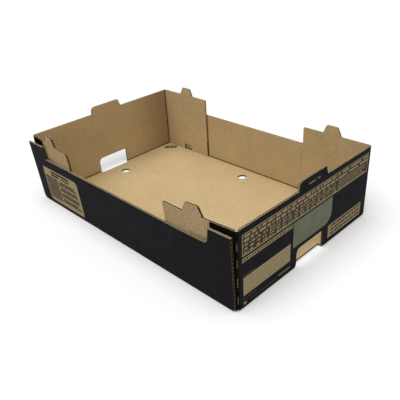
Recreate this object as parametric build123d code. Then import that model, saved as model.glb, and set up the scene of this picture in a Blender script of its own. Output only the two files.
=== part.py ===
from build123d import *
from math import cos, radians, sin
import os

# Outer size of the folded tray, in millimetres
LENGTH = 600.0
WIDTH = 400.0
BOARD = 4.0
# Outer radius of the folds
FOLD_RADIUS = 3.0
END_HEIGHT = 155.0
SIDE_HEIGHT = 116.0
RAISED_HEIGHT = 146.0

# Lean of the front wall out from upright, in degrees: constant up to a point, then easing off
FRONT_LEAN = 3.35
FRONT_LEAN_RIGHT_END = 1.8
LEAN_EASES_FROM = 190.0

# Outline of the long walls, measured along X
SIDE_LOWER_CORNER = 11.0
RAISED_LEFT_STEP = -241.0
RAISED_LEFT_FILLET = 3.0
RAISED_RIGHT_STEP_TOP = 251.0
RAISED_RIGHT_STEP_FOOT = 246.5
RAISED_RIGHT_FILLET = 8.0

# Tab on top of each end wall and slot at its foot, measured along Y
END_TAB_CENTRE = 3.0
END_TAB_WIDTH = 84.0
END_TAB_FAR_SLANT = 5.5
END_SLOT_CENTRE = 2.0
END_SLOT_WIDTH = 83.0
END_SLOT_HEIGHT = 39.0
END_SLOT_BASE_CUT = 10.0
END_TAB_RISE = 17.0
LARGE_CORNER = 10.0
SMALL_CORNER = 3.0

# Glued flaps folded from the end walls, measured along X from the tray's middle
FLAP_FREE_EDGE = 146.0
FLAP_BOTTOM = 5.0
FLAP_GLUE_FROM = 185.0
FLAP_TAB_FOOT = (193.0, 235.0)
FLAP_TAB_TOP = (200.5, 226.0)
FLAP_TAB_RISE = 18.5
FLAP_NOTCH = (205.0, 232.0)
FLAP_NOTCH_HEIGHT = 18.0
FRONT_LEFT_FREE_SLANT = 2.0
FRONT_LEFT_FREE_CORNER = 12.0
# Gap between the front wall's crease and the front flaps at the corner folds
FRONT_CORNER_GAP = 1.0

# Slit in the base under each flap notch, for the tab of the tray below
SLIT_WIDTH = 5.5

# Round vent holes in the base
VENT_DIAMETER = 20.5
VENT_X = 252.0
VENT_Y = 160.0
VENT_END_OFFSET = 3.0

# Cut dashes along the upright corner folds: lowest and highest point of each
PERFORATIONS = ((16.0, 30.0), (50.0, 68.0), (89.0, 103.0), (120.0, 134.0))
PERFORATION_WIDTH = 1.4
PERFORATION_DEPTH = 1.2
# Direction in which the dashes are cut into a corner, in degrees from its two walls
PERFORATION_ANGLE = 45.0

# Creases: where the inner faces of two panels meet
END_CREASE = LENGTH / 2 - BOARD
SIDE_CREASE = WIDTH / 2 - BOARD
BACK_FLAP_CREASE = SIDE_CREASE - BOARD
FRONT_FLAP_CREASE = SIDE_CREASE - BOARD - FRONT_CORNER_GAP
# Longer than any panel, so that an outline can cut it to size
REACH = LENGTH


def rounded_face(corners):
    """Flat face through (u, v, corner radius) points."""
    face = make_face(Polyline([(u, v) for u, v, _ in corners], close=True))
    for u, v, radius in corners:
        if radius > 0:
            face = fillet(face.vertices().sort_by_distance(Vector(u, v))[0], radius)
    return face


def outline_cutter(face):
    """Prism along Y that cuts a panel to an outline drawn in (x, z)."""
    return extrude(Plane.XZ * face, amount=REACH, both=True)


def wall_section(position, lean, crease_distance):
    """Section of a wall folded up from the base: a rounded fold, then the leaning board."""
    outward = Vector(0, -cos(radians(lean)), -sin(radians(lean)))
    upward = Vector(0, -sin(radians(lean)), cos(radians(lean)))
    downward = Vector(0, 0, -1)
    between = (outward + downward) / (1 + outward.dot(downward))
    crease = Vector(position, -crease_distance, BOARD)
    fold_centre = crease + between * (BOARD - FOLD_RADIUS)
    fold_start = fold_centre + downward * FOLD_RADIUS
    fold_middle = fold_centre + between.normalized() * FOLD_RADIUS
    fold_end = fold_centre + outward * FOLD_RADIUS
    outer_top = fold_end + upward * REACH
    inner_top = outer_top - outward * BOARD
    return make_face(
        [
            Line(crease, crease + downward * BOARD),
            Line(crease + downward * BOARD, fold_start),
            ThreePointArc(fold_start, fold_middle, fold_end),
            Line(fold_end, outer_top),
            Line(outer_top, inner_top),
            Line(inner_top, crease),
        ]
    )


def folded_wall(stations, crease_distance, outline):
    """Wall on the -Y side, through (position, lean) stations, cut to its outline."""
    sections = [wall_section(position, lean, crease_distance) for position, lean in stations]
    return loft(sections, ruled=True) & outline_cutter(outline)


def side_outline():
    """Long wall in (x, z): low middle, raised corners and rounded lower corners."""
    return rounded_face(
        [
            (-END_CREASE, 0, SIDE_LOWER_CORNER),
            (END_CREASE, 0, SIDE_LOWER_CORNER),
            (END_CREASE, RAISED_HEIGHT, 0),
            (RAISED_RIGHT_STEP_TOP, RAISED_HEIGHT, 0),
            (RAISED_RIGHT_STEP_FOOT, SIDE_HEIGHT, RAISED_RIGHT_FILLET),
            (RAISED_LEFT_STEP, SIDE_HEIGHT, RAISED_LEFT_FILLET),
            (RAISED_LEFT_STEP, RAISED_HEIGHT, 0),
            (-END_CREASE, RAISED_HEIGHT, 0),
        ]
    )


def end_outline():
    """End wall in (y, z): stacking tab on top, slot for the tab below at the foot."""
    tab_near = END_TAB_CENTRE - END_TAB_WIDTH / 2
    tab_far = END_TAB_CENTRE + END_TAB_WIDTH / 2
    slot_near = END_SLOT_CENTRE - END_SLOT_WIDTH / 2
    slot_far = END_SLOT_CENTRE + END_SLOT_WIDTH / 2
    tab_top = END_HEIGHT + END_TAB_RISE
    return rounded_face(
        [
            (-FRONT_FLAP_CREASE, 0, 0),
            (slot_near, 0, LARGE_CORNER),
            (slot_near, END_SLOT_HEIGHT, LARGE_CORNER),
            (slot_far, END_SLOT_HEIGHT, 0),
            (slot_far, 0, 0),
            (BACK_FLAP_CREASE, 0, 0),
            (BACK_FLAP_CREASE, END_HEIGHT, 0),
            (tab_far, END_HEIGHT, 0),
            (tab_far - END_TAB_FAR_SLANT, tab_top, SMALL_CORNER),
            (tab_near, tab_top, LARGE_CORNER),
            (tab_near, END_HEIGHT, 0),
            (-FRONT_FLAP_CREASE, END_HEIGHT, 0),
        ]
    )


def flap_outline(free_slant, free_corner):
    """Right-hand flap in (x, z): stacking tab on top, notch for the tab below at the foot."""
    tab_top = END_HEIGHT + FLAP_TAB_RISE
    return rounded_face(
        [
            (FLAP_FREE_EDGE, FLAP_BOTTOM, 0),
            (FLAP_NOTCH[0], FLAP_BOTTOM, 0),
            (FLAP_NOTCH[0], FLAP_NOTCH_HEIGHT, SMALL_CORNER),
            (FLAP_NOTCH[1], FLAP_NOTCH_HEIGHT, SMALL_CORNER),
            (FLAP_NOTCH[1], FLAP_BOTTOM, 0),
            (END_CREASE, FLAP_BOTTOM, 0),
            (END_CREASE, END_HEIGHT, 0),
            (FLAP_TAB_FOOT[1], END_HEIGHT, SMALL_CORNER),
            (FLAP_TAB_TOP[1], tab_top, SMALL_CORNER),
            (FLAP_TAB_TOP[0], tab_top, SMALL_CORNER),
            (FLAP_TAB_FOOT[0], END_HEIGHT, SMALL_CORNER),
            (FLAP_FREE_EDGE + free_slant, END_HEIGHT, free_corner),
        ]
    )


def flap_section(position, crease, lean):
    """Section of a front flap: its outer face meets the base's top plane at the crease distance."""
    outward = Vector(0, -cos(radians(lean)), -sin(radians(lean)))
    upward = Vector(0, -sin(radians(lean)), cos(radians(lean)))
    outer_foot = Vector(position, -crease, BOARD) - upward * BOARD
    inner_foot = outer_foot - outward * BOARD
    outer_top = outer_foot + upward * REACH
    inner_top = inner_foot + upward * REACH
    return make_face(Polyline([outer_foot, outer_top, inner_top, inner_foot], close=True))


def front_flap(outline):
    """Right-hand front flap: upright at the corner fold, turning to lie on the leaning wall."""
    sections = [
        flap_section(END_CREASE, SIDE_CREASE - FRONT_CORNER_GAP, 0),
        flap_section(FLAP_GLUE_FROM, SIDE_CREASE, FRONT_LEAN),
        flap_section(FLAP_FREE_EDGE, SIDE_CREASE, FRONT_LEAN),
    ]
    return loft(sections, ruled=True) & outline_cutter(outline)


def back_flap(outline):
    """Right-hand back flap, flat against the upright back wall."""
    board = Pos(0, BACK_FLAP_CREASE, 0) * Box(
        REACH, BOARD, REACH, align=(Align.CENTER, Align.MIN, Align.CENTER)
    )
    return board & outline_cutter(outline)


def corner_fold(crease, side):
    """Rounded upright fold between the right end wall and a flap, on the side of Y given by its sign."""
    section = [(0, 0, 0), (BOARD, 0, 0), (BOARD, BOARD, FOLD_RADIUS), (0, BOARD, 0)]
    fold = extrude(Pos(0, 0, FLAP_BOTTOM) * rounded_face(section), amount=END_HEIGHT - FLAP_BOTTOM)
    fold = fold - perforations()
    if side < 0:
        fold = mirror(fold, about=Plane.XZ)
    return Pos(END_CREASE, side * crease, 0) * fold


def perforations():
    """Cut dashes along the outer corner of an upright fold that starts from the origin."""
    fold_centre = BOARD - FOLD_RADIUS
    dashes = Part()
    for low, high in PERFORATIONS:
        dash = Pos(FOLD_RADIUS, 0, 0) * Box(2 * PERFORATION_DEPTH, PERFORATION_WIDTH, high - low)
        place = Pos(fold_centre, fold_centre, (low + high) / 2)
        dashes += place * Rot(0, 0, PERFORATION_ANGLE) * dash
    return dashes


def base_panel():
    """Base with its vent holes, the cuts under the end slots and the slits under the flap notches."""
    outline = Rectangle(2 * END_CREASE, 2 * SIDE_CREASE)
    for side in (-1, 1):
        cut_x = side * (LENGTH / 2 - END_SLOT_BASE_CUT / 2)
        cut = RectangleRounded(END_SLOT_BASE_CUT, END_SLOT_WIDTH, SMALL_CORNER)
        cut += Pos(side * END_SLOT_BASE_CUT / 4, 0) * Rectangle(END_SLOT_BASE_CUT / 2, END_SLOT_WIDTH)
        outline -= Pos(cut_x, END_SLOT_CENTRE) * cut
        outline -= Pos(side * VENT_X, VENT_END_OFFSET) * Circle(VENT_DIAMETER / 2)
        outline -= Pos(0, side * VENT_Y) * Circle(VENT_DIAMETER / 2)
    slit_x = (FLAP_NOTCH[0] + FLAP_NOTCH[1]) / 2
    slit_length = FLAP_NOTCH[1] - FLAP_NOTCH[0]
    for x in (-slit_x, slit_x):
        for side in (-1, 1):
            y = side * (SIDE_CREASE - SLIT_WIDTH / 2)
            outline -= Pos(x, y) * Rectangle(slit_length, SLIT_WIDTH)
    return extrude(outline, amount=BOARD)


def end_panel(front_slant, front_corner):
    """Right end wall with its two corner folds and its two flaps."""
    stations = [(-FRONT_FLAP_CREASE, 0), (BACK_FLAP_CREASE, 0)]
    wall = Rot(0, 0, 90) * folded_wall(stations, END_CREASE, end_outline())
    return [
        wall,
        corner_fold(BACK_FLAP_CREASE, 1),
        corner_fold(FRONT_FLAP_CREASE, -1),
        back_flap(flap_outline(0, 0)),
        front_flap(flap_outline(front_slant, front_corner)),
    ]


def folded_tray():
    """The whole tray as one folded and glued board."""
    front_stations = [
        (-END_CREASE, FRONT_LEAN),
        (LEAN_EASES_FROM, FRONT_LEAN),
        (END_CREASE, FRONT_LEAN_RIGHT_END),
    ]
    back_stations = [(-END_CREASE, 0), (END_CREASE, 0)]
    panels = [
        folded_wall(front_stations, SIDE_CREASE, side_outline()),
        mirror(folded_wall(back_stations, SIDE_CREASE, side_outline()), about=Plane.XZ),
    ]
    panels += end_panel(0, 0)
    panels += [
        mirror(panel, about=Plane.YZ)
        for panel in end_panel(FRONT_LEFT_FREE_SLANT, FRONT_LEFT_FREE_CORNER)
    ]
    tray = base_panel()
    for panel in panels:
        tray += panel
    return tray


os.makedirs("parts", exist_ok=True)
tray = folded_tray()
export_step(tray, "parts/folded_tray.step")
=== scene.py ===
from math import ceil, cos, pi, radians, sin, sqrt, tan

import bmesh
import bpy
from mathutils import Matrix, Vector


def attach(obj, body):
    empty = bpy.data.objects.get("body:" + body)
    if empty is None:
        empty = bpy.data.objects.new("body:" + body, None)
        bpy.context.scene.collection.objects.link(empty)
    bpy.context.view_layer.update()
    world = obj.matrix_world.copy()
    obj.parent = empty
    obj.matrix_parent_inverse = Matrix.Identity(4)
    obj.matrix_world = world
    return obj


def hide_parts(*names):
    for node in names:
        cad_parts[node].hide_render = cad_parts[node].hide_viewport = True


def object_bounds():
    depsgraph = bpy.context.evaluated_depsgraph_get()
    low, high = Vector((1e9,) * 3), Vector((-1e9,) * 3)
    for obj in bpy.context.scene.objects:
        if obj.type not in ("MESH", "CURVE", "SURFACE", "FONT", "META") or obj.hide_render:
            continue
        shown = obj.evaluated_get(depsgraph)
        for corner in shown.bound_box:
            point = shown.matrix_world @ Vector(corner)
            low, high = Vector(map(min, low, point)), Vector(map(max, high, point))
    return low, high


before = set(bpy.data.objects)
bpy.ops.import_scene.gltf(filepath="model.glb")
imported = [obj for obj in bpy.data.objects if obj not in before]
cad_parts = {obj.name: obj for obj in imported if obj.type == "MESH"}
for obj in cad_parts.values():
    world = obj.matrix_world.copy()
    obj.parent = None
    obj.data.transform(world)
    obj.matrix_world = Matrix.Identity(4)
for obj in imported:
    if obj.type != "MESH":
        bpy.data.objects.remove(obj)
cad_low, cad_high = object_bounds()

# A stacking tray folded from one sheet of corrugated board, with glued corner flaps. Lengths are in metres.
MM = 0.001

# Folded tray: half its outer length, half its outer width at the foot, and the height of its tabs
HALF_LENGTH = cad_high.x
HALF_WIDTH = cad_high.y
TAB_TOP = cad_high.z
BOARD = 4 * MM
FOLD_RADIUS = 3 * MM
END_HEIGHT = 155 * MM
SIDE_HEIGHT = 116 * MM
RAISED_HEIGHT = 146 * MM

# Lean of the front wall out from upright: constant up to a point, then easing off
FRONT_LEAN = radians(3.35)
FRONT_LEAN_RIGHT_END = radians(1.8)
LEAN_EASES_FROM = 190 * MM

# Creases: where the inner faces of two panels meet
END_CREASE = HALF_LENGTH - BOARD
SIDE_CREASE = HALF_WIDTH - BOARD
BACK_FLAP_CREASE = SIDE_CREASE - BOARD
FRONT_CORNER_GAP = 1 * MM
FRONT_FLAP_CREASE = BACK_FLAP_CREASE - FRONT_CORNER_GAP

# Outline of the long walls
SIDE_LOWER_CORNER = 11 * MM
RAISED_LEFT_STEP = -241 * MM
RAISED_LEFT_FILLET = 3 * MM
RAISED_RIGHT_STEP_TOP = 251 * MM
RAISED_RIGHT_STEP_FOOT = 246.5 * MM
RAISED_RIGHT_FILLET = 8 * MM

# Tab on top of each end wall and slot at its foot
END_TAB_CENTRE = 3 * MM
END_TAB_WIDTH = 84 * MM
END_TAB_FAR_SLANT = 5.5 * MM
END_TAB_RISE = 17 * MM
END_SLOT_CENTRE = 2 * MM
END_SLOT_WIDTH = 83 * MM
END_SLOT_NEAR = END_SLOT_CENTRE - END_SLOT_WIDTH / 2
END_SLOT_FAR = END_SLOT_CENTRE + END_SLOT_WIDTH / 2
END_SLOT_HEIGHT = 39 * MM
END_SLOT_BASE_CUT = 10 * MM
LARGE_CORNER = 10 * MM
SMALL_CORNER = 3 * MM

# Glued flaps
FLAP_FREE_EDGE = 146 * MM
FLAP_BOTTOM = 5 * MM
FLAP_GLUE_FROM = 185 * MM
FLAP_TAB_FOOT = (193 * MM, 235 * MM)
FLAP_TAB_TOP = (200.5 * MM, 226 * MM)
FLAP_NOTCH = (205 * MM, 232 * MM)
FLAP_NOTCH_HEIGHT = 18 * MM
FRONT_LEFT_FREE_SLANT = 2 * MM
FRONT_LEFT_FREE_CORNER = 12 * MM
SLIT_WIDTH = 5.5 * MM

# Round vent holes in the base
VENT_DIAMETER = 20.5 * MM
VENT_X = 252 * MM
VENT_Y = 160 * MM
VENT_END_OFFSET = 3 * MM

# Cut dashes along the upright corner folds: lowest and highest point of each,
# and half of their width as an angle round the fold
PERFORATIONS = ((16 * MM, 30 * MM), (50 * MM, 68 * MM), (89 * MM, 103 * MM), (120 * MM, 134 * MM))
PERFORATION_HALF_ANGLE = radians(13.5)

# Layers of the corrugated board: two flat liners and the wavy medium glued between them
LINER = 0.42 * MM
MEDIUM = 0.3 * MM
FLUTE_PITCH = 7.8 * MM
FLUTE_START = 1.2 * MM

# Divisions of a flute, a rounded corner, a fold, a panel that twists and a vent
FLUTE_STEPS = 10
CORNER_STEPS = 6
FOLD_STEPS = 6
TWIST_STEPS = 6
VENT_STEPS = 32

# Points nearer than this are one, and a face whose normal points this much through the board lies flat in it
MERGE = 0.001 * MM
LIES_FLAT = 0.9

# Axes of the tray, and of a flat panel: along its crease, from inside to outside, and away from the crease
X, Y, Z = 0, 1, 2
ALONG, THROUGH, UP = 0, 1, 2

# Where a fold crushes the board: an axis, the place on it, and whether the open flutes are above that
FOOT_FOLD = (UP, BOARD, True)
CORNER_FOLD = (ALONG, END_CREASE, False)

# Finishes of a liner: on the tray's outside, on its cut edges, on its glued side, and on the tray's inside
OUTSIDE, CUT, GLUED, INSIDE = 0, 1, 2, 3

# Finishes of the fluting: plain, a copy with painted shade in the base and the front wall, crushed at a
# fold, and shaded with painted shade in the front flaps
PLAIN, DIM, CRUSHED, SHADED = 0, 1, 2, 3

# Colours of paper and ink, as screen values from 0 to 255
KRAFT_INSIDE = (188, 164, 122)
# The outside and the flaps' kraft are darker than the inside kraft, partly as a darker outer liner and
# partly as painted shade on the outer faces
KRAFT_OUTSIDE = (146, 130, 98)
KRAFT_FLAPS = (156, 134, 101)
# Painted shade for the cut edges low in the slots and notches
FOOT_SHADE_FLUTING = (78, 64, 40)
BLACK_INK = (26, 26, 29)
# Ink on the flaps, darker and browner than the black ink: painted shade for the flaps standing in shade by
# the walls
SHADED_FLAP_INK = (20, 16, 11)
GREY_GREEN_INK = (104, 107, 89)
BROWN_INK = (62, 30, 30)
# Brown of the painted shade in creases and of the wider painted shade beside them
CREASE_SHADE_BROWN = (82, 58, 10)

# Colours of cut board: a tone of painted light on top and one of painted shade at its sides
CUT_LINER = ((214, 192, 150), (98, 82, 56))
FLUTING = ((190, 168, 128), (170, 146, 106))
# Dim fluting is a copy of the fluting with painted shade, for the base and the front wall
DIM_FLUTING = ((172, 152, 114), (42, 36, 28))
# The crushed board's grey side tone is a painted highlight, for the dashes along the corner folds
CRUSHED_BOARD = ((178, 156, 118), (90, 91, 92))
SHADED_FLUTING = ((150, 132, 98), (98, 68, 32))

# Noise: features to a metre, levels of finer detail, and the strength of each finer level
PAPER_CLOUDS = (14, 4, 0.6)
PAPER_GRAIN = (420, 3, 0.6)
PAPER_MOTTLE = (300, 5, 0.8)
PAPER_FIBRES = (1700, 2, 0.6)
TORN_FIBRES = (1600, 3, 0.7)
INK_PATCHES = (38, 4, 0.6)
INK_PINHOLES = (1500, 2, 0.6)
RUB_CRACKS = (900, 3, 0.7)
RUB_PATCHES = (60, 2, 0.5)
CREASE_WANDER = (120, 3, 0.5)
FLOOR_CLOUDS = (3, 2, 0.5)

# Values between which nearly all of a noise lies
NOISE_RANGE = (0.3, 0.7)

# Width of a fibre, as a share of its length
FIBRE_SLENDERNESS = 0.12

# Specks in the paper: how many to a metre, how one fades out, and the draws that make one dark or pale
SPECKS = 330
SPECK_FADE = (0.16, 0.06)
DARK_SPECK_DRAW = (0.84, 0.88)
PALE_SPECK_DRAW = (0.14, 0.10)

# How far each pattern takes the paper's tone up or down, and the mottle, stronger on the rougher outside
CLOUD_TONE = 0.26
GRAIN_TONE = 0.16
FIBRE_TONE = 0.18
FLUTE_TONE = 0.008
DARK_SPECK_TONE = -0.30
PALE_SPECK_TONE = 0.12
INSIDE_MOTTLE = 1.1
OUTSIDE_MOTTLE = 2.1

# Swing of the tone in torn paper, and in ink by its patches and by the flutes
TORN_TONE = 0.5
INK_TONE = 0.5
INK_FLUTE_TONE = 0.02

# Pinholes in the ink: the levels of their noise between which they open, and how strongly they show
PINHOLE_FADE = (0.68, 0.76)
PINHOLE_STRENGTH = 0.12

# Relief that each pattern gives the paper, and how strongly it shows on each kind of surface
FLUTE_RELIEF = 0.018
FIBRE_RELIEF = 0.09
GRAIN_RELIEF = 0.05
TORN_RELIEF = 0.3
CREASE_RELIEF = -0.5
INSIDE_BUMP = 0.5
OUTSIDE_BUMP = 0.4
CUT_BUMP = 0.8
FLOOR_BUMP = 0.05

# Roughness from the low to the high values of a pattern, and how much ink changes it
PAPER_ROUGHNESS = (0.88, 0.78)
DRY_INK_ROUGHNESS = (0.86, 0.78)
INK_ROUGHNESS_CHANGE = -0.22
FLOOR_ROUGHNESS = (0.9, 0.95)

# Strength of a mirror-like reflection on bare paper, on printed paper, and on the flaps' dull print
PAPER_GLOSS = 0.2
INK_GLOSS = 0.02
FLAP_GLOSS = 0

# Painted shade in a crease, as a dark line: its reach, the darkest share of that, its strength, and how
# uneven its reach is
CREASE_REACH = 3.2 * MM
CREASE_CORE = 0.1
CREASE_STRENGTH = 0.95
CREASE_UNEVENNESS = 0.8

# Wider painted shade beside some creases, towards the corners
WIDE_SHADE_REACH = 130 * MM
WALL_WIDE_SHADE = 0.4
BASE_WIDE_SHADE = 0.12

# Rubs beside a fold: their reach, the share of cracks in their noise, the level of it where a rub starts
# at the end of that reach and at the fold, the softness of a rub's edge, and how bare it is
RUB_REACH = 4 * MM
CRACK_SHARE = 0.7
RUB_LEVEL = 0.78
RUB_LEVEL_AT_FOLD = 0.58
RUB_EDGE = 0.05
RUB_BARENESS = 0.2

# Cut edges: the upward slope over which painted light makes one pale, and the height below which the slots
# get painted shade
LIT_TOP_SLOPE = (0.5, 0.95)
FOOT_SHADE_HEIGHT = 44 * MM

# Softness of a printed edge, and of a short bar's edge as a share of its length and its row
INK_EDGE = 0.15 * MM
BAR_EDGE = 0.03

# Steps between the random draws of one row or column of bars and of the next
ROW_DRAW = 7.31
COLUMN_DRAW = 3.17

# Where the black print runs round a corner onto a flap, and round the creases under the base
FLAP_PRINT_FROM = 248 * MM
FRONT_LEFT_FLAP_PRINT_FROM = 252 * MM
UNDERSIDE_PRINT_BORDER = 12 * MM

# Print, in millimetres: left, right, lower and upper edge of each field and each block of bars.
# Front wall: the label, whose right column holds paragraphs of one height
LABEL = (-263, -129, 10, 95.7)
LABEL_TITLE = (-231, -161, 87, 91.8)
LABEL_SUBTITLE = (-232, -203, 79.6, 84.4)
LABEL_PALE_SUBTITLE = (-194, -162, 79.6, 84.2)
LABEL_LEFT_COLUMN = (-260, -207, 19, 76)
LABEL_RIGHT_COLUMN = (-205, -136)
PARAGRAPH_FEET = (63.5, 49, 34.5, 20)
PARAGRAPH_HEIGHT = 11

# Right end wall: the table across its top
TABLE = (-183.5, 187, 103, 143.3)
TABLE_BODY = (-181.8, 185.4, 105.2, 141.8)
UPPER_LEFT_CELLS = (-182, 80, 126.2, 141.4)
UPPER_RIGHT_CELLS = (82, 186, 126.2, 141.4)
LOWER_LEFT_CELLS = (-181, -118, 104.5, 125.5)
LOWER_MIDDLE_CELLS = (-117, 80, 104.5, 125.5)
LOWER_RIGHT_CELLS = (82, 186, 104.5, 125.5)

# Right end wall: the strip under the table, the boxes, the small marks, and the field over the slot
STRIP = (-184, -53.3, 91.8, 99.2)
STRIP_BARS = (-183, -54, 93.2, 97.8)
BLANK_BOX = (-182, -58.5, 25, 61.5)
BARRED_BOX = (59.5, 176, 11, 39.5)
BARRED_BOX_BARS = (68, 173, 13, 38.5)
CORNER_MARK = (-182, -175, 7, 12)
FOOT_MARK = (-92, -58, 11, 14)
BARS_OVER_BLANK_BOX = (-182, -152, 63.5, 66.5)
BARS_UNDER_BLANK_BOX = (-182, -148, 17, 20)
FOOT_BARS = (-168, -95, 8.5, 12)
NEAR_TAB_BARS = (-12, 7, 155.5, 161)
FAR_TAB_BARS = (13, 22, 156, 161.5)
TINTED_FIELD = (-51, 67.5, 47, 130)
TINTED_FIELD_LIMIT = (-51, 67.5, 40, 99.5)

# Base: a row of short bars set at a slant, in the back left corner, measured from its own centre
BASE_MARK_CENTRE = (-270 * MM, 172.5 * MM, 0)
BASE_MARK_TURN = radians(46)
BASE_MARK = (-17, 17, -8, 8)

# Floor
FLOOR_HALF_SIZE = 6
FLOOR_TONES = ((0.86, 0.86, 0.86, 1), (0.88, 0.88, 0.88, 1))

# Light
OVERHEAD_STRENGTH = 2.85
OVERHEAD_SPREAD = radians(65)
OVERHEAD_DIRECTION = (0.06, -0.30, 1)
SURROUNDINGS_TONE = (1, 1, 1, 1)
SURROUNDINGS_STRENGTH = 0.36

# Camera: its place in metres, its turn in degrees, and its lens and sensor in millimetres
CAMERA_PLACE = (0.7126, -0.6485, 0.5644)
CAMERA_TURN = (60.05, 3.31, 45.05)
CAMERA_FOCAL_LENGTH = 45.38
CAMERA_SENSOR = 36


# Objects

def new_object(name, data):
    """A new object in the scene."""
    made = bpy.data.objects.new(name, data)
    bpy.context.scene.collection.objects.link(made)
    return made


def mesh_object(name, bm, materials=()):
    """A new object in the scene from a mesh, which is used up."""
    mesh = bpy.data.meshes.new(name)
    bm.to_mesh(mesh)
    bm.free()
    for material in materials:
        mesh.materials.append(material)
    return new_object(name, mesh)


# Flat layers of the board

def outline_solid(corners, low, high):
    """Closed slab with rounded corners, from one depth of the board to another."""
    bm = bmesh.new()
    points = [Vector((u, low, v)) for u, v, _ in corners]
    verts = [bm.verts.new(point) for point in points]
    bm.faces.new(verts)
    for i, (_, _, radius) in enumerate(corners):
        if radius:
            before = points[i - 1] - points[i]
            after = points[(i + 1) % len(points)] - points[i]
            bmesh.ops.bevel(
                bm, geom=[verts[i]], offset=radius / tan(before.angle(after) / 2), offset_type="OFFSET",
                segments=CORNER_STEPS, profile=0.5, affect="VERTICES", material=-1,
            )
    thicken(bm, high - low)
    return bm


def wavy_sheet(waves_axis):
    """Closed wavy sheet through the middle of the board, larger than any panel."""
    waves = ceil(2 * HALF_LENGTH / FLUTE_PITCH)
    half = waves * FLUTE_PITCH / 2
    swing = (BOARD - MEDIUM) / 2 - LINER
    bm = bmesh.new()
    bmesh.ops.create_grid(bm, x_segments=waves * FLUTE_STEPS, y_segments=1, size=half)
    for vert in bm.verts:
        depth = (BOARD - MEDIUM) / 2 + swing * sin(2 * pi * (vert.co.x - FLUTE_START) / FLUTE_PITCH)
        if waves_axis == ALONG:
            vert.co = (vert.co.x, depth, vert.co.y)
        else:
            vert.co = (vert.co.y, depth, vert.co.x)
    thicken(bm, MEDIUM)
    return bm


def thicken(bm, thickness):
    """Gives a sheet its thickness, towards the outside of the board."""
    grown = bmesh.ops.extrude_face_region(bm, geom=bm.faces[:])
    lifted = [item for item in grown["geom"] if isinstance(item, bmesh.types.BMVert)]
    bmesh.ops.translate(bm, verts=lifted, vec=(0, thickness, 0))
    bmesh.ops.recalc_face_normals(bm, faces=bm.faces[:])


def carve(body, tool, operation):
    """The body after a Boolean operation with the tool. Both meshes are used up."""
    carved, cutter = mesh_object("carved", body), mesh_object("cutter", tool)
    modifier = carved.modifiers.new("carve", "BOOLEAN")
    modifier.operation = operation
    modifier.solver = "EXACT"
    modifier.object = cutter
    result = bmesh.new()
    result.from_object(carved, bpy.context.evaluated_depsgraph_get())
    for used in (carved, cutter):
        mesh = used.data
        bpy.data.objects.remove(used)
        bpy.data.meshes.remove(mesh)
    return result


def plane_cut(bm, axis, place, **clear):
    """Cuts a mesh across an axis."""
    normal = Vector((0, 0, 0))
    normal[axis] = 1
    geom = bm.verts[:] + bm.edges[:] + bm.faces[:]
    return bmesh.ops.bisect_plane(bm, geom=geom, plane_co=normal * place, plane_no=normal, **clear)


def keep_side(bm, axis, place, above):
    """Keeps what lies above a place on an axis, or else below it, and closes the cut."""
    cut = plane_cut(bm, axis, place, clear_inner=above, clear_outer=not above)
    rim = [item for item in cut["geom_cut"] if isinstance(item, bmesh.types.BMEdge)]
    bmesh.ops.holes_fill(bm, edges=rim)


def add_mesh(target, bm):
    """Adds one mesh to another and uses it up."""
    mesh = bpy.data.meshes.new("added")
    bm.to_mesh(mesh)
    bm.free()
    target.from_mesh(mesh)
    bpy.data.meshes.remove(mesh)


def painted(bm, finish):
    """A mesh with one finish on all its faces."""
    for face in bm.faces:
        face.material_index = finish
    return bm


def liner(outline, side, drill=None):
    """Flat paper layer on one side of the board, with finishes for its face, its cuts and its glued side."""
    low, facing = (BOARD - LINER, 1) if side == OUTSIDE else (0, -1)
    bm = outline_solid(outline, low, low + LINER)
    if drill:
        bm = carve(bm, drill(), "DIFFERENCE")
    for face in bm.faces:
        at_corner = face.calc_center_median()[ALONG] > HALF_LENGTH - MERGE
        towards = face.normal[THROUGH] * facing
        if towards > LIES_FLAT or at_corner:
            face.material_index = side
        else:
            face.material_index = GLUED if towards < -LIES_FLAT else CUT
    return bm


def fluting(outline, waves_axis, finish, fold=None, drill=None):
    """Wavy medium between the liners. Where the board is folded, it is crushed solid."""
    medium = carve(wavy_sheet(waves_axis), outline_solid(outline, 0, BOARD), "INTERSECT")
    if drill:
        medium = carve(medium, drill(), "DIFFERENCE")
    if not fold:
        return painted(medium, finish)
    axis, place, flutes_above = fold
    crushed = outline_solid(outline, LINER, BOARD - LINER)
    keep_side(medium, axis, place, flutes_above)
    keep_side(crushed, axis, place, not flutes_above)
    painted(medium, finish)
    add_mesh(medium, painted(crushed, CRUSHED))
    return medium


# Outlines of the panels, as (along, up, corner radius)

def side_outline():
    """Long wall: low middle, raised corners and rounded lower corners."""
    return [
        (-END_CREASE, 0, SIDE_LOWER_CORNER),
        (END_CREASE, 0, SIDE_LOWER_CORNER),
        (END_CREASE, RAISED_HEIGHT, 0),
        (RAISED_RIGHT_STEP_TOP, RAISED_HEIGHT, 0),
        (RAISED_RIGHT_STEP_FOOT, SIDE_HEIGHT, RAISED_RIGHT_FILLET),
        (RAISED_LEFT_STEP, SIDE_HEIGHT, RAISED_LEFT_FILLET),
        (RAISED_LEFT_STEP, RAISED_HEIGHT, 0),
        (-END_CREASE, RAISED_HEIGHT, 0),
    ]


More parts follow.
